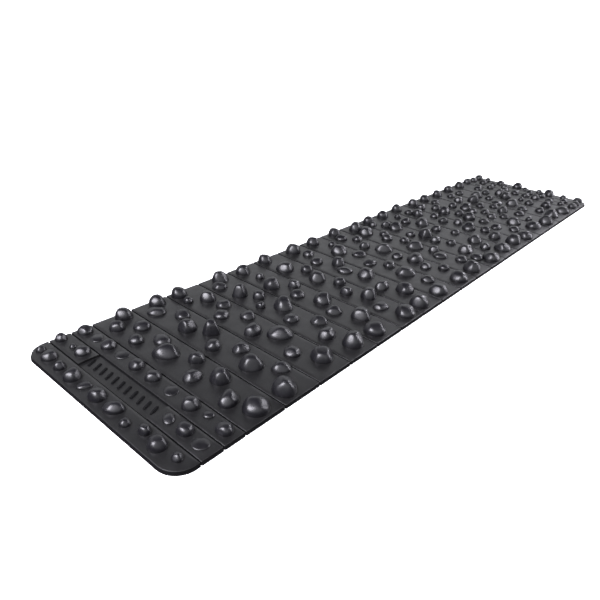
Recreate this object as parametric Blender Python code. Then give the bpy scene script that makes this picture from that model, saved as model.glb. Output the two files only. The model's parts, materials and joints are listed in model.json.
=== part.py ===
"""Roll-up pebble foot mat: rubber strips covered in moulded stones, joined by thin living-hinge webs.

X runs along the mat, Y across it and +Z up. The origin is under the middle of the mat, on the floor.
"""

import math

import bmesh
import bpy
from mathutils import Matrix, Vector

# Driving dimensions, in metres
WIDTH = 0.400  # across the mat
END_PITCH = 0.044  # first and last strip
NARROW_PITCH = 0.039  # the next two strips at each end
WIDE_PITCH = 0.080  # every other strip
WIDE_COUNT = 18
TOP = 0.0075  # strip surface above the floor
FLANGE = 0.0018  # thickness of the proud base flange
STEP = 0.0012  # how far the flange stands proud of the body
SINK = 0.0008  # how far a body reaches into its flange
SLOT = 0.0010  # half the gap between strips at the floor
MOUTH = 0.0015  # half the gap between strips at the surface
DRAFT = 0.0004  # lean of an outer wall
CHAMFER = 0.0008  # along the top edges of a strip
CORNER = 0.036  # corner radius of the mat, in plan
CORNER_STEPS = 5
WEB_HALF = 0.0007  # half the width of a hinge web
WEB_LOW = 0.0016
WEB_HIGH = 0.0028
PIVOT = 0.0022  # height of a hinge's axis
BEND = math.radians(30)  # the most that a groove closes
EASE = 0.0004  # kept between a stone and the closing groove

# Nameplate recess in the second strip: plain slanted ribs in a sunken panel
PLATE_FROM = -0.080
PLATE_TO = 0.104
PLATE_DEPTH = 0.0035
RIB_COUNT = 11
RIB_SIZE = (0.019, 0.0050, 0.0022)
RIB_SLANT = math.radians(24)

# Stones: width, length and height in mm, taper, lean, fullness exponent
STONES = {
    "tiny": (12, 13, 6, 0.0, 0.0, 1.0),
    "pip": (17, 17, 9, 0.0, 0.0, 1.0),
    "bead": (20, 20, 12, 0.0, 0.0, 0.9),
    "chip": (15, 19, 4, 0.0, 0.0, 0.9),
    "disc": (26, 24, 3, 0.0, 0.0, 0.9),
    "twin": (18, 25, 5, 0.0, 0.0, 0.9),
    "drop": (27, 27, 12, 0.0, 0.0, 0.9),
    "dome": (29, 28, 15, 0.03, 0.0, 0.85),
    "bun": (32, 30, 12, 0.0, 0.0, 0.9),
    "oval": (25, 33, 13, 0.0, 0.0, 0.9),
    "low": (37, 30, 10, 0.0, 0.0, 0.9),
    "wedge": (27, 35, 13, 0.10, 0.12, 0.9),
    "egg": (30, 39, 17, 0.05, 0.0, 0.88),
    "nub": (33, 31, 19, 0.10, 0.10, 0.8),
    "stub": (37, 35, 22, 0.12, 0.03, 0.78),
    "gum": (34, 33, 26, 0.24, 0.04, 0.78),
    "horn": (37, 35, 21, 0.20, 0.12, 0.82),
    "knoll": (42, 39, 19, 0.12, 0.05, 0.82),
    "peak": (43, 40, 22, 0.26, 0.06, 0.85),
    "hill": (43, 41, 19, 0.08, 0.0, 0.85),
    "mound": (40, 42, 24, 0.18, 0.0, 0.8),
    "crag": (49, 38, 18, 0.18, 0.04, 0.85),
}
STONE_SIDES = 8
STONE_RINGS = 6
STONE_ROOT = 0.0022  # how deep a stone reaches into its strip
EDGE_ROOM = 0.0022  # kept between a stone and the mat's outer edge

# Each strip's stones: kind, mm along from the strip's start, mm across from the mat's right side, turn
LAYOUT = [
    [("pip", 22, 379), ("drop", 22, 351), ("bead", 20, 314), ("dome", 21, 277), ("twin", 22, 244, 60),
     ("dome", 22, 208), ("oval", 24, 167, 45), ("pip", 17, 130), ("bead", 27, 98), ("dome", 23, 64),
     ("pip", 27, 27)],
    [("bead", 17, 390), ("tiny", 19, 353), ("drop", 22, 328), ("twin", 21, 96, 140), ("drop", 22, 61),
     ("disc", 20, 26, 135)],
    [("drop", 19, 383), ("disc", 22, 350), ("drop", 24, 315), ("disc", 24, 277), ("drop", 24, 234),
     ("drop", 24, 191), ("disc", 23, 145, 45), ("dome", 21, 97), ("chip", 26, 63, 45), ("drop", 21, 24)],
    [("nub", 56, 385, 135), ("dome", 25, 355), ("bun", 58, 328), ("drop", 25, 297), ("low", 57, 268),
     ("crag", 38, 230, 135), ("dome", 62, 182), ("wedge", 27, 148, 90), ("horn", 55, 116),
     ("egg", 28, 67, 110), ("hill", 44, 27)],
    [("nub", 49, 385, 135), ("low", 28, 355, 135), ("bun", 55, 312), ("horn", 33, 270, 200),
     ("gum", 55, 231), ("dome", 25, 192), ("wedge", 55, 154, 85), ("peak", 34, 108, 150),
     ("wedge", 62, 68, 45), ("mound", 25, 27, 135)],
    [("nub", 20, 381, 135), ("bead", 16, 348), ("nub", 51, 330), ("bun", 56, 290), ("bun", 26, 263),
     ("bun", 60, 227), ("egg", 29, 181, 100), ("crag", 57, 140, 135), ("bun", 29, 86), ("hill", 55, 43)],
    [("horn", 46, 382, 135), ("bun", 22, 354), ("gum", 29, 301), ("dome", 51, 268), ("bead", 24, 237),
     ("peak", 57, 207, 60), ("bun", 31, 163), ("wedge", 63, 121, 45), ("egg", 35, 80, 93),
     ("mound", 49, 33)],
    [("nub", 26, 373, 135), ("bead", 35, 330), ("stub", 22, 283), ("dome", 60, 254), ("bun", 33, 220),
     ("knoll", 53, 170, 30), ("wedge", 33, 125, 45), ("knoll", 57, 78, 100), ("hill", 32, 29)],
    [("nub", 23, 382, 135), ("knoll", 27, 323), ("dome", 57, 285), ("knoll", 42, 242, 60), ("dome", 61, 195),
     ("dome", 36, 158), ("stub", 57, 116, 40), ("low", 38, 73), ("hill", 50, 25)],
    [("stub", 34, 377, 135), ("drop", 48, 341), ("bun", 29, 299), ("nub", 58, 258), ("low", 41, 226),
     ("knoll", 58, 179, 10), ("egg", 33, 121, 100), ("knoll", 57, 79), ("mound", 26, 26)],
    [("nub", 29, 378, 135), ("bead", 57, 339), ("knoll", 37, 302), ("low", 62, 259, 135), ("low", 39, 211),
     ("bun", 63, 173), ("crag", 52, 123, 135), ("bun", 59, 70), ("hill", 27, 26)],
    [("nub", 41, 384, 135), ("bun", 30, 351), ("drop", 57, 320), ("dome", 32, 279), ("crag", 54, 236, 135),
     ("drop", 40, 188), ("knoll", 57, 148), ("drop", 38, 109), ("drop", 64, 76), ("hill", 39, 26)],
    [("stub", 34, 368, 40), ("knoll", 33, 332), ("drop", 62, 293), ("dome", 40, 270), ("drop", 64, 232),
     ("crag", 49, 191, 135), ("dome", 63, 146), ("low", 44, 117, 135), ("bun", 62, 71), ("mound", 29, 28)],
    [("nub", 27, 375, 135), ("bead", 17, 353), ("dome", 43, 328), ("knoll", 49, 300, 20), ("drop", 35, 244),
     ("stub", 60, 215), ("dome", 46, 177), ("drop", 64, 140), ("knoll", 44, 91), ("bun", 23, 50),
     ("hill", 48, 24)],
    [("nub", 20, 377, 135), ("bead", 49, 344), ("dome", 30, 305), ("knoll", 57, 268), ("dome", 43, 216),
     ("drop", 63, 169), ("knoll", 49, 105, 30), ("dome", 24, 65), ("hill", 51, 31)],
    [("nub", 23, 382, 135), ("drop", 31, 344), ("nub", 36, 317), ("drop", 62, 276), ("dome", 42, 237),
     ("dome", 63, 201), ("knoll", 48, 160, 20), ("dome", 63, 119), ("nub", 34, 79), ("mound", 42, 30)],
    [("nub", 32, 378, 135), ("dome", 18, 343), ("dome", 50, 309), ("stub", 33, 272), ("dome", 60, 236),
     ("stub", 46, 198), ("bun", 55, 155), ("bun", 34, 109), ("bun", 58, 66), ("hill", 26, 24)],
    [("nub", 20, 377, 135), ("drop", 22, 340), ("dome", 34, 286), ("knoll", 52, 249, 20), ("drop", 36, 219),
     ("drop", 58, 190), ("bun", 38, 159), ("drop", 63, 132), ("knoll", 33, 90), ("hill", 46, 38)],
    [("nub", 20, 376, 135), ("drop", 47, 339), ("dome", 22, 301), ("stub", 58, 267), ("drop", 26, 227),
     ("drop", 53, 195), ("nub", 31, 157, 30), ("bun", 47, 111), ("bead", 18, 70), ("mound", 34, 26)],
    [("nub", 23, 378, 135), ("drop", 22, 337), ("knoll", 42, 285, 20), ("drop", 48, 243), ("low", 21, 205),
     ("knoll", 50, 167), ("bun", 22, 122), ("dome", 50, 78), ("mound", 30, 36)],
    [("nub", 20, 376, 135), ("bun", 47, 319), ("drop", 22, 280), ("nub", 49, 243), ("stub", 24, 211),
     ("bead", 41, 165), ("dome", 20, 131), ("nub", 36, 83), ("hill", 24, 27)],
    [("dome", 17, 384), ("disc", 20, 343), ("drop", 21, 297), ("dome", 18, 246), ("drop", 20, 209),
     ("drop", 19, 173), ("dome", 19, 140), ("drop", 19, 94), ("bead", 21, 57), ("dome", 19, 21)],
    [("drop", 20, 380), ("drop", 19, 342), ("bead", 20, 304), ("dome", 20, 262), ("disc", 21, 222),
     ("drop", 19, 175), ("dome", 20, 134), ("tiny", 21, 98), ("drop", 19, 58), ("drop", 20, 22)],
    [("dome", 21, 378), ("bead", 20, 342), ("drop", 22, 294), ("nub", 22, 234), ("pip", 20, 204),
     ("bead", 24, 157), ("nub", 22, 122), ("bead", 22, 75), ("dome", 21, 28)],
]

MM = 0.001
NIP = 0.00005  # keeps a groove's walls inside the flange at their foot
TURNS = (67, 41)  # degrees that a stone without a given turn is turned by, per strip and per stone


def clear_scene():
    """Start from an empty scene."""
    for old in list(bpy.data.objects):
        bpy.data.objects.remove(old, do_unlink=True)


def make_collection(name):
    """A new collection under the scene."""
    made = bpy.data.collections.new(name)
    bpy.context.scene.collection.children.link(made)
    return made


def rubber(name, color, roughness):
    """Soft black rubber."""
    made = bpy.data.materials.new(name)
    made.use_nodes = True
    shader = made.node_tree.nodes["Principled BSDF"]
    shader.inputs["Base Color"].default_value = (*color, 1.0)
    shader.inputs["Roughness"].default_value = roughness
    shader.inputs["Metallic"].default_value = 0.0
    return made


def add_object(name, bm, collection, material=None):
    """Turn a bmesh into an object with faces pointing out."""
    bmesh.ops.recalc_face_normals(bm, faces=bm.faces)
    mesh = bpy.data.meshes.new(name)
    bm.to_mesh(mesh)
    bm.free()
    if material:
        mesh.materials.append(material)
    made = bpy.data.objects.new(name, mesh)
    collection.objects.link(made)
    return made


def strip_edges():
    """The X of every groove centre line, and of the two ends."""
    side = [END_PITCH, NARROW_PITCH, NARROW_PITCH]
    pitches = side + [WIDE_PITCH] * WIDE_COUNT + side[::-1]
    edges = [-sum(pitches) / 2]
    for pitch in pitches:
        edges.append(edges[-1] + pitch)
    return edges


def add_block(bm, low, high, inset_low=0.0, inset_high=0.0, inset_side=0.0):
    """A box from low to high whose top is drawn in at the two X ends and at both Y sides."""
    size = high - low
    middle = (high + low) / 2
    place = Matrix.Translation(middle) @ Matrix.Diagonal((*size, 1.0))
    verts = bmesh.ops.create_cube(bm, size=1.0, matrix=place)["verts"]
    for v in verts:
        if v.co.z > middle.z:
            v.co.x += inset_low if v.co.x < middle.x else -inset_high
            v.co.y += inset_side if v.co.y < middle.y else -inset_side
    return verts


def round_corners(bm, verts, side, radius):
    """Round the upright edges at one end of a block: side -1 is its low X end, +1 its high X end."""
    middle = sum((v.co.x for v in verts)) / len(verts)
    edges = {e for v in verts for e in v.link_edges}
    upright = [
        e for e in edges
        if abs(e.verts[0].co.z - e.verts[1].co.z) > SINK
        and side * (e.verts[0].co.x - middle) > 0
        and side * (e.verts[1].co.x - middle) > 0
    ]
    bmesh.ops.bevel(bm, geom=upright, offset=radius, segments=CORNER_STEPS, profile=0.5, affect="EDGES")


def chamfer_top(bm, top):
    """Chamfer the edges around a block's top face."""
    edges = [
        e for e in bm.edges
        if all(abs(v.co.z - top) < 1e-6 for v in e.verts)
        and any(abs(f.normal.z) < 0.9 for f in e.link_faces)
    ]
    bmesh.ops.bevel(bm, geom=edges, offset=CHAMFER, segments=1, affect="EDGES")


def flange_mesh(start, end, outer):
    """The thin base of a strip. outer is -1 or +1 on an end strip, 0 elsewhere."""
    bm = bmesh.new()
    low = Vector((start + (SLOT if outer >= 0 else 0.0), -WIDTH / 2, 0.0))
    high = Vector((end - (SLOT if outer <= 0 else 0.0), WIDTH / 2, FLANGE))
    verts = add_block(bm, low, high)
    if outer:
        round_corners(bm, verts, outer, CORNER)
    return bm


def body_mesh(start, end, outer):
    """The body that stands on the flange, with sloping groove walls."""
    bm = bmesh.new()
    nip = SLOT + NIP
    slope = MOUTH - nip
    low = Vector((start + (nip if outer >= 0 else STEP), STEP - WIDTH / 2, FLANGE - SINK))
    high = Vector((end - (nip if outer <= 0 else STEP), WIDTH / 2 - STEP, TOP))
    inset_low = slope if outer >= 0 else DRAFT
    inset_high = slope if outer <= 0 else DRAFT
    verts = add_block(bm, low, high, inset_low, inset_high, DRAFT)
    if outer:
        round_corners(bm, verts, outer, CORNER - STEP)
    bm.normal_update()
    chamfer_top(bm, TOP)
    return bm


def stone_room(kind, turn):
    """The least distance from a stone's centre to a groove, so that it clears the groove's closing plane."""
    width, length, height, taper, lean, fullness = STONES[kind]
    reach = math.hypot(width / 2 * math.cos(turn), length / 2 * math.sin(turn)) * MM
    needed = 0.0
    for step in range(11):
        rise = step / 10
        radius = reach * (1 - rise ** (2 / fullness)) ** (fullness / 2) * (1 - taper * rise)
        shift = abs(lean * math.cos(turn)) * rise * reach
        above = TOP + height * MM * rise - PIVOT
        needed = max(needed, radius + shift + above * math.tan(BEND / 2))
    return needed + EASE


def shape_stone(point, kind):
    """Move a point of a unit sphere onto a stone of this kind, standing on its strip's surface."""
    width, length, height, taper, lean, fullness = STONES[kind]
    rise = max(point.z, 0.0) ** fullness
    flat = point.xy.length
    spread = (flat ** fullness / flat if flat > EASE else 0.0) * (1 - taper * rise)
    x = point.x * spread + lean * rise
    y = point.y * spread
    z = rise * height * MM if point.z > 0 else point.z * STONE_ROOT
    return Vector((x * width / 2 * MM, y * length / 2 * MM, z))


def add_stone(bm, kind, centre, turn):
    """Add one stone to a strip's set."""
    verts = bmesh.ops.create_uvsphere(bm, u_segments=STONE_SIDES, v_segments=STONE_RINGS, radius=1.0)["verts"]
    spin = Matrix.Rotation(turn, 3, "Z")
    for v in verts:
        v.co = centre + spin @ shape_stone(v.co, kind)


def placed(number, start, end):
    """Yield each stone of a strip as kind, centre and turn, kept clear of the grooves and outer edges."""
    for order, (kind, along, across, *turned) in enumerate(LAYOUT[number - 1]):
        turn = math.radians(turned[0] if turned else TURNS[0] * number + TURNS[1] * order)
        room = stone_room(kind, turn)
        width, length = STONES[kind][:2]
        side = math.hypot(width / 2 * math.sin(turn), length / 2 * math.cos(turn)) * MM + EDGE_ROOM
        x = min(max(start + along * MM, start + room), end - room)
        y = min(max(across * MM, side), WIDTH - side) - WIDTH / 2
        yield kind, Vector((x, y, TOP)), turn


def stones_mesh(number, start, end):
    """All the stones of one strip."""
    bm = bmesh.new()
    for kind, centre, turn in placed(number, start, end):
        add_stone(bm, kind, centre, turn)
    return bm


def plate_mesh(start, end):
    """The cutter for the sunken nameplate panel."""
    bm = bmesh.new()
    floor = TOP - PLATE_DEPTH
    add_block(bm, Vector((start, PLATE_FROM, floor)), Vector((end, PLATE_TO, TOP + PLATE_DEPTH)))
    return bm


def ribs_mesh(start, end):
    """Plain slanted ribs that stand in the panel."""
    bm = bmesh.new()
    length, thick, high = RIB_SIZE
    pitch = (PLATE_TO - PLATE_FROM) / RIB_COUNT
    for i in range(RIB_COUNT):
        centre = Vector(((start + end) / 2, PLATE_FROM + pitch * (i + 0.5), TOP - PLATE_DEPTH))
        place = Matrix.Translation(centre) @ Matrix.Rotation(RIB_SLANT, 4, "Z")
        bmesh.ops.create_cube(bm, size=1.0, matrix=place @ Matrix.Diagonal((length, thick, high * 2, 1.0)))
    return bm


def add_boolean(target, tool, operation):
    """Cut or join with an exact Boolean."""
    modifier = target.modifiers.new(operation.title(), "BOOLEAN")
    modifier.operation = operation
    modifier.solver = "EXACT"
    modifier.use_self = operation == "UNION"
    modifier.object = tool


def add_tool(name, bm, collection):
    """An object that only shapes others."""
    tool = add_object(name, bm, collection)
    tool.hide_render = True
    tool.display_type = "WIRE"
    return tool


def make_strip(number, start, end, outer, parts, tools, material):
    """One strip: flange, body and stones joined into one solid."""
    name = f"strip_{number:02d}"
    strip = add_object(name, flange_mesh(start, end, outer), parts, material)
    add_boolean(strip, add_tool(name + "_body", body_mesh(start, end, outer), tools), "UNION")
    if number == 2:
        add_boolean(strip, add_tool(name + "_plate", plate_mesh(start, end), tools), "DIFFERENCE")
        add_boolean(strip, add_tool(name + "_ribs", ribs_mesh(start, end), tools), "UNION")
    add_boolean(strip, add_tool(name + "_stones", stones_mesh(number, start, end), tools), "UNION")
    return strip


def make_web(number, groove, parts, material):
    """The thin web that lies in the bottom of a groove and bends when the mat is rolled."""
    bm = bmesh.new()
    low = Vector((-WEB_HALF, STEP - WIDTH / 2, WEB_LOW - PIVOT))
    high = Vector((WEB_HALF, WIDTH / 2 - STEP, WEB_HIGH - PIVOT))
    add_block(bm, low, high)
    web = add_object(f"hinge_web_{number:02d}", bm, parts, material)
    web.location = (groove, 0.0, PIVOT)
    return web


def set_origin(obj, point):
    """Move an object's origin to a point and keep its mesh where it is."""
    obj.data.transform(Matrix.Translation(-point))
    obj.location = point


def main():
    clear_scene()
    parts = make_collection("pebble_foot_mat")
    tools = make_collection("cutters")
    strip_rubber = rubber("strip_rubber", (0.045, 0.045, 0.050), 0.48)
    web_rubber = rubber("web_rubber", (0.030, 0.030, 0.033), 0.65)
    edges = strip_edges()
    count = len(edges) - 1
    for number in range(1, count + 1):
        start = edges[number - 1]
        end = edges[number]
        outer = {1: -1, count: 1}.get(number, 0)
        strip = make_strip(number, start, end, outer, parts, tools, strip_rubber)
        axis = end if number < count else start
        set_origin(strip, Vector((axis, 0.0, PIVOT)))
    for number in range(1, count):
        make_web(number, edges[number], parts, web_rubber)


main()
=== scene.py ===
"""Looks of the roll-up pebble foot mat: moulded strips and stones, grooves with living hinges, studio.

X runs along the mat, Y across it and +Z up, in metres, as in the CAD.
"""

import json
import math
import random

import bmesh
import bpy
import numpy as np
from mathutils import Matrix, Vector


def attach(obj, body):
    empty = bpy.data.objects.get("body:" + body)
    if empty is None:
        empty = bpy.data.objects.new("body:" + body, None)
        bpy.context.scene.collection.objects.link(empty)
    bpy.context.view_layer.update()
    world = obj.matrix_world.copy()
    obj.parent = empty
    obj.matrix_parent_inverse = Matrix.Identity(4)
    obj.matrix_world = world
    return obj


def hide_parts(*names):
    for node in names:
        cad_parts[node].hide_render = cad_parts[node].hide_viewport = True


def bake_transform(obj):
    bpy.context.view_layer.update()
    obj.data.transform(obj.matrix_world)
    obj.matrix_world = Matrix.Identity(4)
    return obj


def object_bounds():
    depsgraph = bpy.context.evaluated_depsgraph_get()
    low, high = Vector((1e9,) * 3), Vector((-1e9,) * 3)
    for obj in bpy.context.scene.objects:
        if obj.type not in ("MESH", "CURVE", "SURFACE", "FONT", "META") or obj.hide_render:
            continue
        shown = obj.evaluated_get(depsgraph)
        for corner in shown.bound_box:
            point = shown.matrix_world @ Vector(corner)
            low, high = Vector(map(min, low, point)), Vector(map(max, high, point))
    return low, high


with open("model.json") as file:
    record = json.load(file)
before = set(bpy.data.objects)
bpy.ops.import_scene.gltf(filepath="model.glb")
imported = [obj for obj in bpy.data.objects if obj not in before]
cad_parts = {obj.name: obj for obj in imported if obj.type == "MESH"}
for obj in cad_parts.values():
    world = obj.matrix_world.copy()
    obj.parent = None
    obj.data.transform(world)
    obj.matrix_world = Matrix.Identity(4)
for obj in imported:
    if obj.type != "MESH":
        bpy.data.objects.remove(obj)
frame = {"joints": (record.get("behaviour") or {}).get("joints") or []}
CAD_LOW, CAD_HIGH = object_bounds()

MM = 0.001

# The mat, repeated from the CAD
HALF_WIDTH = (CAD_HIGH.y - CAD_LOW.y) / 2
TOP = 0.0075  # strip surface above the floor
FLANGE = 0.0018  # thickness of the proud base flange
STEP = 0.0012  # how far the flange stands proud of the body
SLOT = 0.0010  # half the gap between strips at the floor
MOUTH = 0.0015  # half the gap between strips at the surface
CORNER = 0.036  # corner radius of the mat, in plan
PIVOT = 0.0022  # height of a hinge's axis
BEND = math.radians(30)  # the most that a groove closes
EASE = 0.0004  # kept between a stone and the closing groove
EDGE_ROOM = 0.0022  # kept between a stone and the mat's outer edge

# Nameplate recess in the second strip: plain slanted ribs in a sunken panel
PLATE_STRIP = 2
PLATE_FROM = -0.080
PLATE_TO = 0.104
PLATE_DEPTH = 0.0035
RIB_COUNT = 11
RIB_SIZE = (0.019, 0.0050, 0.0022)  # length, thickness and height
RIB_SLANT = math.radians(24)

# Stones: width, length and height in mm, taper, lean, fullness exponent
STONES = {
    "tiny": (12, 13, 6, 0.0, 0.0, 1.0),
    "pip": (17, 17, 9, 0.0, 0.0, 1.0),
    "bead": (20, 20, 12, 0.0, 0.0, 0.9),
    "chip": (15, 19, 4, 0.0, 0.0, 0.9),
    "disc": (26, 24, 3, 0.0, 0.0, 0.9),
    "twin": (18, 25, 5, 0.0, 0.0, 0.9),
    "drop": (27, 27, 12, 0.0, 0.0, 0.9),
    "dome": (29, 28, 15, 0.03, 0.0, 0.85),
    "bun": (32, 30, 12, 0.0, 0.0, 0.9),
    "oval": (25, 33, 13, 0.0, 0.0, 0.9),
    "low": (37, 30, 10, 0.0, 0.0, 0.9),
    "wedge": (27, 35, 13, 0.10, 0.12, 0.9),
    "egg": (30, 39, 17, 0.05, 0.0, 0.88),
    "nub": (33, 31, 19, 0.10, 0.10, 0.8),
    "stub": (37, 35, 22, 0.12, 0.03, 0.78),
    "gum": (34, 33, 26, 0.24, 0.04, 0.78),
    "horn": (37, 35, 21, 0.20, 0.12, 0.82),
    "knoll": (42, 39, 19, 0.12, 0.05, 0.82),
    "peak": (43, 40, 22, 0.26, 0.06, 0.85),
    "hill": (43, 41, 19, 0.08, 0.0, 0.85),
    "mound": (40, 42, 24, 0.18, 0.0, 0.8),
    "crag": (49, 38, 18, 0.18, 0.04, 0.85),
}

# Degrees that a stone without a given turn is turned by, per strip and per stone
TURNS = (67, 41)

# Each strip's stones: kind, mm along from the strip's start, mm across from the mat's right side, turn
LAYOUT = [
    [("pip", 22, 379), ("drop", 22, 351), ("bead", 20, 314), ("dome", 21, 277), ("twin", 22, 244, 60),
     ("dome", 22, 208), ("oval", 24, 167, 45), ("pip", 17, 130), ("bead", 27, 98), ("dome", 23, 64),
     ("pip", 27, 27)],
    [("bead", 17, 390), ("tiny", 19, 353), ("drop", 22, 328), ("twin", 21, 96, 140), ("drop", 22, 61),
     ("disc", 20, 26, 135)],
    [("drop", 19, 383), ("disc", 22, 350), ("drop", 24, 315), ("disc", 24, 277), ("drop", 24, 234),
     ("drop", 24, 191), ("disc", 23, 145, 45), ("dome", 21, 97), ("chip", 26, 63, 45), ("drop", 21, 24)],
    [("nub", 56, 385, 135), ("dome", 25, 355), ("bun", 58, 328), ("drop", 25, 297), ("low", 57, 268),
     ("crag", 38, 230, 135), ("dome", 62, 182), ("wedge", 27, 148, 90), ("horn", 55, 116),
     ("egg", 28, 67, 110), ("hill", 44, 27)],
    [("nub", 49, 385, 135), ("low", 28, 355, 135), ("bun", 55, 312), ("horn", 33, 270, 200),
     ("gum", 55, 231), ("dome", 25, 192), ("wedge", 55, 154, 85), ("peak", 34, 108, 150),
     ("wedge", 62, 68, 45), ("mound", 25, 27, 135)],
    [("nub", 20, 381, 135), ("bead", 16, 348), ("nub", 51, 330), ("bun", 56, 290), ("bun", 26, 263),
     ("bun", 60, 227), ("egg", 29, 181, 100), ("crag", 57, 140, 135), ("bun", 29, 86), ("hill", 55, 43)],
    [("horn", 46, 382, 135), ("bun", 22, 354), ("gum", 29, 301), ("dome", 51, 268), ("bead", 24, 237),
     ("peak", 57, 207, 60), ("bun", 31, 163), ("wedge", 63, 121, 45), ("egg", 35, 80, 93),
     ("mound", 49, 33)],
    [("nub", 26, 373, 135), ("bead", 35, 330), ("stub", 22, 283), ("dome", 60, 254), ("bun", 33, 220),
     ("knoll", 53, 170, 30), ("wedge", 33, 125, 45), ("knoll", 57, 78, 100), ("hill", 32, 29)],
    [("nub", 23, 382, 135), ("knoll", 27, 323), ("dome", 57, 285), ("knoll", 42, 242, 60), ("dome", 61, 195),
     ("dome", 36, 158), ("stub", 57, 116, 40), ("low", 38, 73), ("hill", 50, 25)],
    [("stub", 34, 377, 135), ("drop", 48, 341), ("bun", 29, 299), ("nub", 58, 258), ("low", 41, 226),
     ("knoll", 58, 179, 10), ("egg", 33, 121, 100), ("knoll", 57, 79), ("mound", 26, 26)],
    [("nub", 29, 378, 135), ("bead", 57, 339), ("knoll", 37, 302), ("low", 62, 259, 135), ("low", 39, 211),
     ("bun", 63, 173), ("crag", 52, 123, 135), ("bun", 59, 70), ("hill", 27, 26)],
    [("nub", 41, 384, 135), ("bun", 30, 351), ("drop", 57, 320), ("dome", 32, 279), ("crag", 54, 236, 135),
     ("drop", 40, 188), ("knoll", 57, 148), ("drop", 38, 109), ("drop", 64, 76), ("hill", 39, 26)],
    [("stub", 34, 368, 40), ("knoll", 33, 332), ("drop", 62, 293), ("dome", 40, 270), ("drop", 64, 232),
     ("crag", 49, 191, 135), ("dome", 63, 146), ("low", 44, 117, 135), ("bun", 62, 71), ("mound", 29, 28)],
    [("nub", 27, 375, 135), ("bead", 17, 353), ("dome", 43, 328), ("knoll", 49, 300, 20), ("drop", 35, 244),
     ("stub", 60, 215), ("dome", 46, 177), ("drop", 64, 140), ("knoll", 44, 91), ("bun", 23, 50),
     ("hill", 48, 24)],
    [("nub", 20, 377, 135), ("bead", 49, 344), ("dome", 30, 305), ("knoll", 57, 268), ("dome", 43, 216),
     ("drop", 63, 169), ("knoll", 49, 105, 30), ("dome", 24, 65), ("hill", 51, 31)],
    [("nub", 23, 382, 135), ("drop", 31, 344), ("nub", 36, 317), ("drop", 62, 276), ("dome", 42, 237),
     ("dome", 63, 201), ("knoll", 48, 160, 20), ("dome", 63, 119), ("nub", 34, 79), ("mound", 42, 30)],
    [("nub", 32, 378, 135), ("dome", 18, 343), ("dome", 50, 309), ("stub", 33, 272), ("dome", 60, 236),
     ("stub", 46, 198), ("bun", 55, 155), ("bun", 34, 109), ("bun", 58, 66), ("hill", 26, 24)],
    [("nub", 20, 377, 135), ("drop", 22, 340), ("dome", 34, 286), ("knoll", 52, 249, 20), ("drop", 36, 219),
     ("drop", 58, 190), ("bun", 38, 159), ("drop", 63, 132), ("knoll", 33, 90), ("hill", 46, 38)],
    [("nub", 20, 376, 135), ("drop", 47, 339), ("dome", 22, 301), ("stub", 58, 267), ("drop", 26, 227),
     ("drop", 53, 195), ("nub", 31, 157, 30), ("bun", 47, 111), ("bead", 18, 70), ("mound", 34, 26)],
    [("nub", 23, 378, 135), ("drop", 22, 337), ("knoll", 42, 285, 20), ("drop", 48, 243), ("low", 21, 205),
     ("knoll", 50, 167), ("bun", 22, 122), ("dome", 50, 78), ("mound", 30, 36)],
    [("nub", 20, 376, 135), ("bun", 47, 319), ("drop", 22, 280), ("nub", 49, 243), ("stub", 24, 211),
     ("bead", 41, 165), ("dome", 20, 131), ("nub", 36, 83), ("hill", 24, 27)],
    [("dome", 17, 384), ("disc", 20, 343), ("drop", 21, 297), ("dome", 18, 246), ("drop", 20, 209),
     ("drop", 19, 173), ("dome", 19, 140), ("drop", 19, 94), ("bead", 21, 57), ("dome", 19, 21)],
    [("drop", 20, 380), ("drop", 19, 342), ("bead", 20, 304), ("dome", 20, 262), ("disc", 21, 222),
     ("drop", 19, 175), ("dome", 20, 134), ("tiny", 21, 98), ("drop", 19, 58), ("drop", 20, 22)],
    [("dome", 21, 378), ("bead", 20, 342), ("drop", 22, 294), ("nub", 22, 234), ("pip", 20, 204),
     ("bead", 24, 157), ("nub", 22, 122), ("bead", 22, 75), ("dome", 21, 28)],
]

# Strips
CORNER_STEPS = 10
INNER_CORNER = 0.0016  # corner radius of a strip where it meets a groove, in plan
CHAMFER = 0.0003  # along the flange's edges, and the lean of the outer walls above it
SHOULDER = 0.0008  # radius of a strip's top edges
SHOULDER_STEPS = 5
ROLL = 0.0008  # how far a strip's surface falls towards its edges
ROLL_REACH = 0.0055  # over this much beside a groove
SIDE_REACH = 0.0240  # and over this much along the mat's own edges
ROLL_SHARES = (0.2, 0.45, 0.7, 1.0)  # shares of the reach where the fall has a ring of points
RIB_BEVEL = 0.6  # share of a rib's height
RIB_BEVEL_STEPS = 3
SHARP_STRIP = math.radians(40)  # from this angle on an edge is shaded sharp
SHARP_STONE = math.radians(60)

# Webs
WEB_OVERLAP = 0.0002  # how far a web reaches into each strip
WEB_BELOW = 0.0006  # its underside under the hinge's axis
WEB_ABOVE = 0.0003  # its middle over the axis
WEB_HOLLOW = 0.0004  # how much higher its sides are than its middle
WEB_STEPS = 8

# Stones
SUNK = 0.0035  # how deep a stone's foot reaches into its strip
SIDES = 56  # points round a stone
RINGS = 18  # from its crown down to its foot
AXIS_GUARD = 1e-6  # least radius, so that nothing is divided by 0 at the crown
ROOM_STEPS = 10  # heights where a stone's room is worked out
FACET_SHARPNESS = 12  # a higher one gives crisper creases between facets
FACET_SCATTER = 0.25  # how far a facet is off its even place round the stone
# Soft facets: how many, lowest and highest tilt in degrees, least and greatest distance from the middle
FACETS = {
    "crag": (4, 20, 50, 0.84, 0.92),
    "peak": (4, 20, 48, 0.87, 0.95),
    "gum": (4, 12, 35, 0.86, 0.93),
    "horn": (4, 20, 45, 0.86, 0.94),
    "knoll": (4, 20, 48, 0.86, 0.94),
    "wedge": (4, 25, 55, 0.84, 0.93),
    "other": (4, 18, 58, 0.87, 0.98),
}
CROWN_FACET = (70, 86, 0.90, 0.98)  # the one that flattens a crown, without the count

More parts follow.
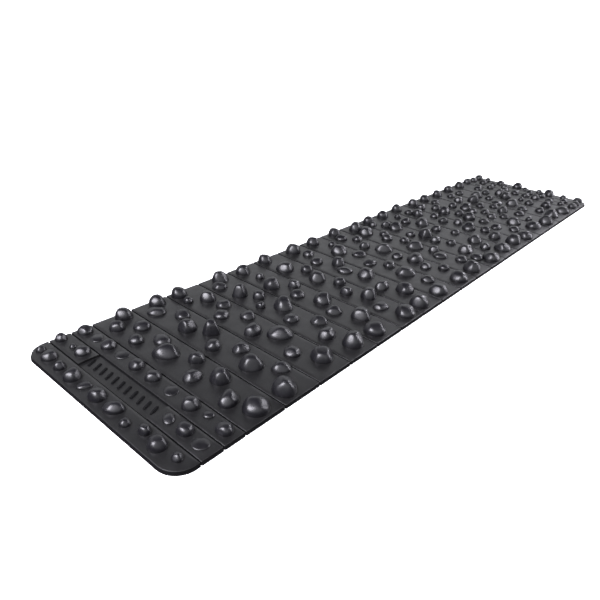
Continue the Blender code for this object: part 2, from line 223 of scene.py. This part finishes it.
# Rubbers
NOISE_SPAN = (0.3, 0.7)  # where most values of a noise lie
STRIP_COLOR = (0.0050, 0.0050, 0.0053)
STONE_COLOR = (0.0046, 0.0044, 0.0060)
# Darker than the strips: the webs' and ribs' colour, and painted shade where it is put on the strips' outer
# and groove walls
WEB_AND_WALL_SHADE_COLOR = (0.0035, 0.0035, 0.0040)
PAINTED_SHADE_SPAN = (0.0016, 0.0066)  # painted shade: heights over which the strips' rubber lightens from dark low down, so the sunken panel is painted darker
FOOT_SHADE = 0.004  # height over which the painted shade at a stone's foot fades out
FOOT_DULL = 0.0015  # and over which it turns from dull to satin

# Studio
FLOOR_RADIUS = 30.0
FLOOR_CURVE = 14.0  # radius of the curve from floor to wall
FLOOR_STEPS = 12
FLOOR_SIDES = 64
FLOOR_COLOR = (0.90, 0.90, 0.90, 1)
FLOOR_GLOW = 0.80
SURROUND_COLOR = (0.96, 0.97, 1.0, 1)
SURROUND_LEAST = 0.04  # its strength where it is darkest
BACKDROP = (0.77, 0.64, 0.0)  # towards the bright wall behind the mat
FADE = 0.9  # how squarely the backdrop or the front has to be faced for its whole strength
# Spans of height are from 0 at the horizon to 1 straight up
BACKDROP_RISE = (0.22, 0.42)  # where the wall grows brighter
BACKDROP_STRENGTH = (0.48, 1.80)
BACKDROP_END = (0.46, 0.62)  # where it fades out
FRONT_RISE = (0.12, 0.46)  # where the front grows brighter
FRONT_STRENGTH = (0.0, 1.6)
SOFTBOX_COLOR = (0.93, 0.91, 1.0)
# Softboxes: name, place, the point that it is turned to, size and power
SOFTBOXES = [
    ("key_softbox", (-2.0, 0.2, 1.7), (-0.2, 0, 0), (1.3, 1.3), 125),
    ("side_softbox", (1.7, -1.6, 1.1), (-0.3, 0, 0), (0.30, 2.2), 50),
    ("far_softbox", (3.2, -0.3, 2.0), (0, 0, 0), (0.7, 1.0), 38),
]
CAMERA_PLACE = (-1.1140, -0.6098, 0.5164)
CAMERA_TURN = math.radians(-50.19)
CAMERA_PITCH = math.radians(62.01)
CAMERA_ROLL = math.radians(3.30)
CAMERA_LENS = 32.45  # mm
CAMERA_SENSOR = 36  # mm, its width


def new_material(name):
    """A new material, its node tree and its shader."""
    made = bpy.data.materials.new(name)
    made.use_nodes = True
    tree = made.node_tree
    shader = tree.nodes["Principled BSDF"]
    return made, tree, shader


def add_node(tree, kind, **values):
    """Make a node, with values for its settings and its inputs."""
    node = tree.nodes.new(kind)
    for key, value in values.items():
        if key in node.inputs:
            node.inputs[key].default_value = value
        else:
            setattr(node, key, value)
    return node


def noise(tree, place, scale, detail=3.0):
    """Noise over these coordinates, as a socket from 0 to 1."""
    node = add_node(tree, "ShaderNodeTexNoise", Scale=scale, Detail=detail, Roughness=0.55)
    tree.links.new(place, node.inputs["Vector"])
    return node.outputs["Fac"]


def spread(tree, value, span, onto):
    """Map a socket's range onto another, and hold it there."""
    node = add_node(tree, "ShaderNodeMapRange")
    node.inputs["From Min"].default_value = span[0]
    node.inputs["From Max"].default_value = span[1]
    node.inputs["To Min"].default_value = onto[0]
    node.inputs["To Max"].default_value = onto[1]
    tree.links.new(value, node.inputs["Value"])
    return node.outputs["Result"]


def multiply(tree, a, b):
    """The product of two sockets."""
    node = add_node(tree, "ShaderNodeMath", operation="MULTIPLY")
    tree.links.new(a, node.inputs[0])
    tree.links.new(b, node.inputs[1])
    return node.outputs["Value"]


def add(tree, a, b):
    """The sum of a socket and another socket or a number."""
    node = add_node(tree, "ShaderNodeMath", operation="ADD")
    tree.links.new(a, node.inputs[0])
    if isinstance(b, float):
        node.inputs[1].default_value = b
    else:
        tree.links.new(b, node.inputs[1])
    return node.outputs["Value"]


def coordinates(tree, kind):
    """Coordinates of this kind, whole and as their height alone."""
    place = add_node(tree, "ShaderNodeTexCoord").outputs[kind]
    split = add_node(tree, "ShaderNodeSeparateXYZ")
    tree.links.new(place, split.inputs["Vector"])
    return place, split.outputs["Z"]


def bump(tree, height, distance, under=None):
    """A bump layer, on top of another or alone."""
    node = add_node(tree, "ShaderNodeBump", Strength=1.0, Distance=distance)
    tree.links.new(height, node.inputs["Height"])
    if under:
        tree.links.new(under, node.inputs["Normal"])
    return node.outputs["Normal"]


def tinted(tree, color, *shades):
    """A colour scaled by every one of the shades, which are sockets."""
    shade = shades[0]
    for other in shades[1:]:
        shade = multiply(tree, shade, other)
    node = add_node(tree, "ShaderNodeVectorMath", operation="SCALE")
    node.inputs[0].default_value = color
    tree.links.new(shade, node.inputs["Scale"])
    return node.outputs["Vector"]


def strip_rubber():
    """Matte charcoal rubber: fine mould grain, soft waves, and painted shade that darkens it lower down, as
    in the sunken panel.
    """
    made, tree, shader = new_material("strip_rubber_skin")
    place, height = coordinates(tree, "Object")
    clouds = spread(tree, noise(tree, place, scale=22), NOISE_SPAN, (0.88, 1.12))
    specks = spread(tree, noise(tree, place, scale=1500, detail=2.0), (0.35, 0.75), (0.90, 1.16))
    # Painted shade: the base colour is darker the lower the surface lies, so the sunken panel is painted
    # darker
    painted_depth_shade = spread(tree, height, PAINTED_SHADE_SPAN, (0.30, 1.0))
    tree.links.new(tinted(tree, STRIP_COLOR, clouds, specks, painted_depth_shade), shader.inputs["Base Color"])
    rough = spread(tree, noise(tree, place, scale=60, detail=4.0), NOISE_SPAN, (0.38, 0.45))
    tree.links.new(rough, shader.inputs["Roughness"])
    waves = bump(tree, noise(tree, place, scale=20, detail=1.0), distance=0.0012)
    grain = bump(tree, noise(tree, place, scale=420, detail=2.0), distance=0.00006, under=waves)
    fine = bump(tree, noise(tree, place, scale=1900, detail=2.0), distance=0.000035, under=grain)
    tree.links.new(fine, shader.inputs["Normal"])
    shader.inputs["IOR"].default_value = 1.50
    return made


def stone_rubber():
    """The stones' smoother satin skin, with painted shade darkening each stone's foot."""
    made, tree, shader = new_material("stone_rubber_skin")
    place, height = coordinates(tree, "Object")
    clouds = spread(tree, noise(tree, place, scale=70), NOISE_SPAN, (0.85, 1.15))
    # Painted shade: the base colour darkens towards each stone's foot, where it meets the strip
    painted_foot_shade = spread(tree, height, (TOP, TOP + FOOT_SHADE), (0.35, 1.0))
    tree.links.new(tinted(tree, STONE_COLOR, clouds, painted_foot_shade), shader.inputs["Base Color"])
    rough = spread(tree, noise(tree, place, scale=150, detail=4.0), NOISE_SPAN, (0.33, 0.38))
    dull = spread(tree, height, (TOP, TOP + FOOT_DULL), (1.4, 1.0))
    tree.links.new(multiply(tree, rough, dull), shader.inputs["Roughness"])
    soft = bump(tree, noise(tree, place, scale=90, detail=1.0), distance=0.00010)
    grain = bump(tree, noise(tree, place, scale=1300, detail=2.0), distance=0.000016, under=soft)
    tree.links.new(grain, shader.inputs["Normal"])
    shader.inputs["IOR"].default_value = 1.52
    return made


def web_and_wall_shade_rubber():
    """Dull dark rubber of the webs, also given to the groove walls and the mat's outer walls as painted
    shade.
    """
    made, tree, shader = new_material("web_rubber_skin")
    place = add_node(tree, "ShaderNodeTexCoord").outputs["Object"]
    clouds = spread(tree, noise(tree, place, scale=90), NOISE_SPAN, (0.8, 1.2))
    tree.links.new(tinted(tree, WEB_AND_WALL_SHADE_COLOR, clouds), shader.inputs["Base Color"])
    rough = spread(tree, noise(tree, place, scale=240), NOISE_SPAN, (0.6, 0.75))
    tree.links.new(rough, shader.inputs["Roughness"])
    grain = bump(tree, noise(tree, place, scale=1200), distance=0.00004)
    tree.links.new(grain, shader.inputs["Normal"])
    shader.inputs["Specular IOR Level"].default_value = 0.12
    return made


def mat_edges():
    """The X of the near end, of every groove and of the far end."""
    grooves = sorted(joint["pos_m"][0] for joint in frame["joints"])
    return [CAD_LOW.x, *grooves, CAD_HIGH.x]


def add_piece(name, bm, materials, sharp=SHARP_STRIP):
    """Turn a bmesh into a smooth shaded object, with its sharper edges kept sharp."""
    bmesh.ops.recalc_face_normals(bm, faces=bm.faces)
    mesh = bpy.data.meshes.new(name)
    bm.to_mesh(mesh)
    bm.free()
    for material in materials:
        mesh.materials.append(material)
    mesh.shade_smooth()
    mesh.set_sharp_from_angle(angle=sharp)
    made = bpy.data.objects.new(name, mesh)
    bpy.context.scene.collection.objects.link(made)
    return made


def outline(low, high, radii):
    """Points round a rectangle with rounded corners, from its low corner and counter-clockwise."""
    corners = [(low.x, low.y), (high.x, low.y), (high.x, high.y), (low.x, high.y)]
    inward = [(1, 1), (-1, 1), (-1, -1), (1, -1)]
    points = []
    for index, ((x, y), (sx, sy), radius) in enumerate(zip(corners, inward, radii)):
        for step in range(CORNER_STEPS + 1):
            angle = math.pi * (1 + index / 2 + step / CORNER_STEPS / 2)
            points.append((x + radius * (sx + math.cos(angle)), y + radius * (sy + math.sin(angle))))
    return points


def loft(bm, rings):
    """Close a stack of rings of (x, y, z) points into a solid."""
    loops = [[bm.verts.new(point) for point in ring] for ring in rings]
    count = len(loops[0])
    for lower, upper in zip(loops, loops[1:]):
        for i in range(count):
            bm.faces.new((lower[i], lower[(i + 1) % count], upper[(i + 1) % count], upper[i]))
    bm.faces.new(loops[0][::-1])
    bm.faces.new(loops[-1])


def strip_levels():
    """A strip's section from the floor up: height, inset from a groove's middle, inset from an outer edge."""
    groove_wall = SLOT + CHAMFER / 4
    levels = [
        (0.0, SLOT + CHAMFER, CHAMFER),
        (CHAMFER, SLOT, 0.0),
        (FLANGE - CHAMFER, SLOT, 0.0),
        (FLANGE, groove_wall, CHAMFER),
        (FLANGE, groove_wall, STEP),
    ]
    groove_top = MOUTH - CHAMFER
    side_top = STEP + CHAMFER
    for step in range(SHOULDER_STEPS + 1):
        angle = math.pi / 2 * step / SHOULDER_STEPS
        rise = TOP - ROLL - SHOULDER * (1 - math.sin(angle))
        inset = SHOULDER * (1 - math.cos(angle))
        levels.append((rise, groove_top + inset, side_top + inset))
    for share in ROLL_SHARES:
        rise = TOP - ROLL * (1 - share) ** 2
        reach = SHOULDER + ROLL_REACH * share
        side_reach = SHOULDER + SIDE_REACH * share
        levels.append((rise, groove_top + reach, side_top + side_reach))
    return levels


def strip_body(number, start, end, outer, materials):
    """The moulded strip without its stones. outer is -1 or +1 on an end strip, 0 elsewhere."""
    bm = bmesh.new()
    rings = []
    for z, groove_inset, side_inset in strip_levels():
        low = Vector((start + (side_inset if outer < 0 else groove_inset), side_inset - HALF_WIDTH))
        high = Vector((end - (side_inset if outer > 0 else groove_inset), HALF_WIDTH - side_inset))
        rounded = min(CORNER - side_inset, high.x - low.x - 2 * INNER_CORNER)
        near = rounded if outer < 0 else INNER_CORNER
        far = rounded if outer > 0 else INNER_CORNER
        rings.append([(x, y, z) for x, y in outline(low, high, (near, far, far, near))])
    loft(bm, rings)
    # Painted shade: a strip's lower faces, its outer and groove walls, take the darker web rubber
    for face in bm.faces:
        if max(vert.co.z for vert in face.verts) < TOP - ROLL - SHOULDER / 2:
            face.material_index = 1
    return add_piece(f"mat_strip_{number:02d}", bm, materials)


def cut_plate(body, start, end):
    """Sink the nameplate panel into a strip, from groove to groove."""
    bm = bmesh.new()
    size = Vector((end - start, PLATE_TO - PLATE_FROM, 2 * PLATE_DEPTH))
    middle = Vector(((start + end) / 2, (PLATE_FROM + PLATE_TO) / 2, TOP))
    bmesh.ops.create_cube(bm, size=1.0, matrix=Matrix.Translation(middle) @ Matrix.Diagonal((*size, 1.0)))
    cutter = add_piece("plate_cutter", bm, [])
    modifier = body.modifiers.new("Plate", "BOOLEAN")
    modifier.operation = "DIFFERENCE"
    modifier.solver = "EXACT"
    modifier.object = cutter
    shape = bpy.data.meshes.new_from_object(body.evaluated_get(bpy.context.evaluated_depsgraph_get()))
    body.modifiers.clear()
    body.data = shape
    shape.set_sharp_from_angle(angle=SHARP_STRIP)
    bpy.data.objects.remove(cutter, do_unlink=True)


def plate_ribs(start, end, material):
    """The plain slanted ribs that stand in the nameplate panel."""
    bm = bmesh.new()
    length, thick, high = RIB_SIZE
    pitch = (PLATE_TO - PLATE_FROM) / RIB_COUNT
    for i in range(RIB_COUNT):
        centre = Vector(((start + end) / 2, PLATE_FROM + pitch * (i + 0.5), TOP - PLATE_DEPTH))
        place = Matrix.Translation(centre) @ Matrix.Rotation(RIB_SLANT, 4, "Z")
        rib = bmesh.new()
        bmesh.ops.create_cube(rib, size=1.0, matrix=Matrix.Diagonal((length, thick, high * 2, 1.0)))
        edges = list(rib.edges)
        bmesh.ops.bevel(rib, geom=edges, offset=high * RIB_BEVEL, segments=RIB_BEVEL_STEPS, affect="EDGES")
        shape = bpy.data.meshes.new("rib")
        rib.to_mesh(shape)
        rib.free()
        shape.transform(place)
        bm.from_mesh(shape)
        bpy.data.meshes.remove(shape)
    return add_piece("plate_ribs", bm, [material])


def stone_room(kind, turn):
    """The least distance from a stone's centre to a groove, so that it clears the groove's closing plane."""
    width, length, height, taper, lean, fullness = STONES[kind]
    reach = math.hypot(width / 2 * math.cos(turn), length / 2 * math.sin(turn)) * MM
    needed = 0.0
    for step in range(ROOM_STEPS + 1):
        rise = step / ROOM_STEPS
        radius = reach * (1 - rise ** (2 / fullness)) ** (fullness / 2) * (1 - taper * rise)
        shift = abs(lean * math.cos(turn)) * rise * reach
        above = TOP + height * MM * rise - PIVOT
        needed = max(needed, radius + shift + above * math.tan(BEND / 2))
    return needed + EASE


def placed(number, start, end):
    """Yield each stone of a strip as its order, kind, centre and turn, as the CAD places it."""
    for order, (kind, along, across, *turned) in enumerate(LAYOUT[number - 1]):
        turn = math.radians(turned[0] if turned else TURNS[0] * number + TURNS[1] * order)
        room = stone_room(kind, turn)
        width, length = STONES[kind][:2]
        side = math.hypot(width / 2 * math.sin(turn), length / 2 * math.cos(turn)) * MM + EDGE_ROOM
        x = min(max(start + along * MM, start + room), end - room)
        y = min(max(across * MM, side), 2 * HALF_WIDTH - side) - HALF_WIDTH
        yield order, kind, Vector((x, y, TOP)), turn


def facet_plane(around, tilt, distance):
    """A facet's direction, from its angle round the stone and its tilt above the floor, and its distance."""
    return math.cos(around) * math.cos(tilt), math.sin(around) * math.cos(tilt), math.sin(tilt), distance


def facet_planes(kind, dice):
    """The soft facets that a stone is worn to, each as its direction and its distance."""
    count, low, high, near, far = FACETS.get(kind, FACETS["other"])
    planes = []
    for i in range(count):
        around = math.tau * (i + dice.uniform(-FACET_SCATTER, FACET_SCATTER)) / count
        tilt = math.radians(dice.uniform(low, high))
        planes.append(facet_plane(around, tilt, dice.uniform(near, far)))
    low, high, near, far = CROWN_FACET
    around = dice.uniform(0, math.tau)
    tilt = math.radians(dice.uniform(low, high))
    planes.append(facet_plane(around, tilt, dice.uniform(near, far)))
    return np.array(planes)


def dome_points():
    """Unit-sphere points from the crown down to the foot, ring by ring."""
    rings = []
    for i in range(1, RINGS + 1):
        rise = math.cos(math.pi / 2 * i / RINGS)
        radius = math.sqrt(1 - rise * rise)
        angles = np.arange(SIDES) * math.tau / SIDES
        rings.append(np.stack([radius * np.cos(angles), radius * np.sin(angles), np.full(SIDES, rise)], 1))
    return np.concatenate([[[0, 0, 1.0]], *rings])


def shape_stone(points, kind, planes):
    """Unit-sphere points moved onto a stone of this kind, in metres."""
    width, length, height, taper, lean, fullness = STONES[kind]
    against = np.clip(points @ planes[:, :3].T / planes[:, 3], 0, None)
    worn = ((1 + (against ** FACET_SHARPNESS).sum(1)) ** (-1 / FACET_SHARPNESS))[:, None]
    radius = np.maximum(np.linalg.norm(points[:, :2], axis=1), AXIS_GUARD)
    around = points[:, :2] * (radius ** fullness / radius)[:, None]
    full = np.column_stack([around, points[:, 2] ** fullness]) * worn
    rise = full[:, 2]
    x = full[:, 0] * (1 - taper * rise) + lean * rise
    y = full[:, 1] * (1 - taper * rise)
    return np.stack([x * width / 2, y * length / 2, rise * height], 1) * MM


def add_stone(bm, kind, centre, turn, dice, limits):
    """Add one stone, kept between the mouths of the grooves beside it."""
    points = shape_stone(dome_points(), kind, facet_planes(kind, dice))
    spin = np.array(Matrix.Rotation(turn, 3, "Z"))
    points = points @ spin.T + np.array(centre)
    points[:, 0] = np.clip(points[:, 0], *limits)
    foot = points[-SIDES:] - (0, 0, SUNK)
    crown = bm.verts.new(points[0])
    loops = [points[1 + i:1 + i + SIDES] for i in range(0, len(points) - 1, SIDES)] + [foot]
    loops = [[bm.verts.new(point) for point in loop] for loop in loops]
    for i in range(SIDES):
        bm.faces.new((crown, loops[0][i], loops[0][(i + 1) % SIDES]))
    for upper, lower in zip(loops, loops[1:]):
        for i in range(SIDES):
            bm.faces.new((upper[i], lower[i], lower[(i + 1) % SIDES], upper[(i + 1) % SIDES]))
    bm.faces.new(loops[-1][::-1])


def strip_stones(number, start, end, material):
    """All the stones of one strip."""
    bm = bmesh.new()
    limits = (start + MOUTH, end - MOUTH)
    for order, kind, centre, turn in placed(number, start, end):
        add_stone(bm, kind, centre, turn, random.Random(100 * number + order), limits)
    return add_piece(f"stones_{number:02d}", bm, [material], SHARP_STONE)


def groove_web(number, groove, material):
    """The thin rubber that joins two strips in the bottom of a groove."""
    bm = bmesh.new()
    half = HALF_WIDTH - STEP
    reach = SLOT + WEB_OVERLAP
    low = PIVOT - WEB_BELOW
    rings = []
    for i in range(WEB_STEPS + 1):
        x = -reach + 2 * reach * i / WEB_STEPS
        high = PIVOT + WEB_ABOVE + WEB_HOLLOW * (x / reach) ** 2
        rings.append([(groove + x, -half, low), (groove + x, half, low),
                      (groove + x, half, high), (groove + x, -half, high)])
    loft(bm, rings)
    return add_piece(f"groove_web_{number:02d}", bm, [material])


def make_mat():
    """Every strip, its stones and the webs between."""
    strip_skin = strip_rubber()
    stone_skin = stone_rubber()
    web_and_wall_shade_skin = web_and_wall_shade_rubber()
    edges = mat_edges()
    count = len(edges) - 1
    for number in range(1, count + 1):
        start = edges[number - 1]
        end = edges[number]
        outer = {1: -1, count: 1}.get(number, 0)
        body = strip_body(number, start, end, outer, [strip_skin, web_and_wall_shade_skin])
        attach(body, f"panel_{number:02d}")
        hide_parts(f"strip_{number:02d}")
        if number == PLATE_STRIP:
            cut_plate(body, start, end)
            ribs = plate_ribs(start, end, web_and_wall_shade_skin)
            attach(ribs, "panel_02")
        stones = strip_stones(number, start, end, stone_skin)
        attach(stones, f"panel_{number:02d}")
    for number in range(1, count):
        web = groove_web(number, edges[number], web_and_wall_shade_skin)
        start = (edges[number] + SLOT, 0, PIVOT)
        end = (edges[number] - SLOT, 0, PIVOT)
        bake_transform(web)
        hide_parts(f"hinge_web_{number:02d}")


def area_light(name, place, aim, size, power):
    """A rectangular softbox at a place, turned to a point."""
    data = bpy.data.lights.new(name, "AREA")
    data.shape = "RECTANGLE"
    data.size, data.size_y = size
    data.energy = power
    data.color = SOFTBOX_COLOR
    light = bpy.data.objects.new(name, data)
    light.location = place
    light.rotation_euler = (Vector(aim) - Vector(place)).to_track_quat("-Z", "Y").to_euler()
    bpy.context.scene.collection.objects.link(light)


def floor_white():
    """Pale matte floor that glows, so that it is white all over."""
    made, _, shader = new_material("floor_white")
    shader.inputs["Base Color"].default_value = FLOOR_COLOR
    shader.inputs["Roughness"].default_value = 0.9
    shader.inputs["Specular IOR Level"].default_value = 0.1
    shader.inputs["Emission Color"].default_value = (1, 1, 1, 1)
    shader.inputs["Emission Strength"].default_value = FLOOR_GLOW
    return made


def studio_floor():
    """A round floor that curves up into a low wall all the way round. The rubber doesn't mirror it."""
    bm = bmesh.new()
    turns = np.arange(FLOOR_SIDES) * math.tau / FLOOR_SIDES
    rings = []
    for step in range(FLOOR_STEPS + 1):
        angle = math.pi / 2 * step / FLOOR_STEPS
        radius = FLOOR_RADIUS - FLOOR_CURVE * (1 - math.sin(angle))
        height = FLOOR_CURVE * (1 - math.cos(angle))
        ring = [bm.verts.new((radius * math.cos(turn), radius * math.sin(turn), height)) for turn in turns]
        rings.append(ring)
    bm.faces.new(rings[0])
    for inner, outer in zip(rings, rings[1:]):
        for i in range(FLOOR_SIDES):
            after = (i + 1) % FLOOR_SIDES
            bm.faces.new((inner[i], outer[i], outer[after], inner[after]))
    floor = add_piece("floor", bm, [floor_white()])
    floor.visible_glossy = False


def surround():
    """Light from all round: a bright wall low behind the mat, a bright room in front, dark elsewhere."""
    world = bpy.data.worlds.new("surround")
    bpy.context.scene.world = world
    world.use_nodes = True
    tree = world.node_tree
    place, height = coordinates(tree, "Generated")
    facing = add_node(tree, "ShaderNodeVectorMath", operation="DOT_PRODUCT")
    tree.links.new(place, facing.inputs[0])
    facing.inputs[1].default_value = BACKDROP
    behind = spread(tree, facing.outputs["Value"], (0.0, FADE), (0.0, 1.0))
    wall = spread(tree, height, BACKDROP_RISE, BACKDROP_STRENGTH)
    top_edge = spread(tree, height, BACKDROP_END, (1.0, 0.0))
    backdrop = multiply(tree, behind, multiply(tree, wall, top_edge))
    in_front = spread(tree, facing.outputs["Value"], (0.0, -FADE), (0.0, 1.0))
    front = multiply(tree, in_front, spread(tree, height, FRONT_RISE, FRONT_STRENGTH))
    total = add(tree, add(tree, backdrop, front), SURROUND_LEAST)
    tree.links.new(total, tree.nodes["Background"].inputs["Strength"])
    tree.nodes["Background"].inputs["Color"].default_value = SURROUND_COLOR


def add_camera():
    """The camera, turned about Z, then tipped up from straight down, then rolled."""
    data = bpy.data.cameras.new("camera")
    data.lens = CAMERA_LENS
    data.sensor_width = CAMERA_SENSOR
    camera = bpy.data.objects.new("camera", data)
    turn = Matrix.Rotation(CAMERA_TURN, 4, "Z")
    pitch = Matrix.Rotation(CAMERA_PITCH, 4, "X")
    roll = Matrix.Rotation(CAMERA_ROLL, 4, "Z")
    camera.matrix_world = Matrix.Translation(CAMERA_PLACE) @ turn @ pitch @ roll
    bpy.context.scene.collection.objects.link(camera)
    bpy.context.scene.camera = camera


def studio():
    """Pale floor, surround, softboxes and the camera."""
    studio_floor()
    surround()
    for softbox in SOFTBOXES:
        area_light(*softbox)
    add_camera()
    bpy.context.scene.view_settings.view_transform = "Standard"


studio()
make_mat()
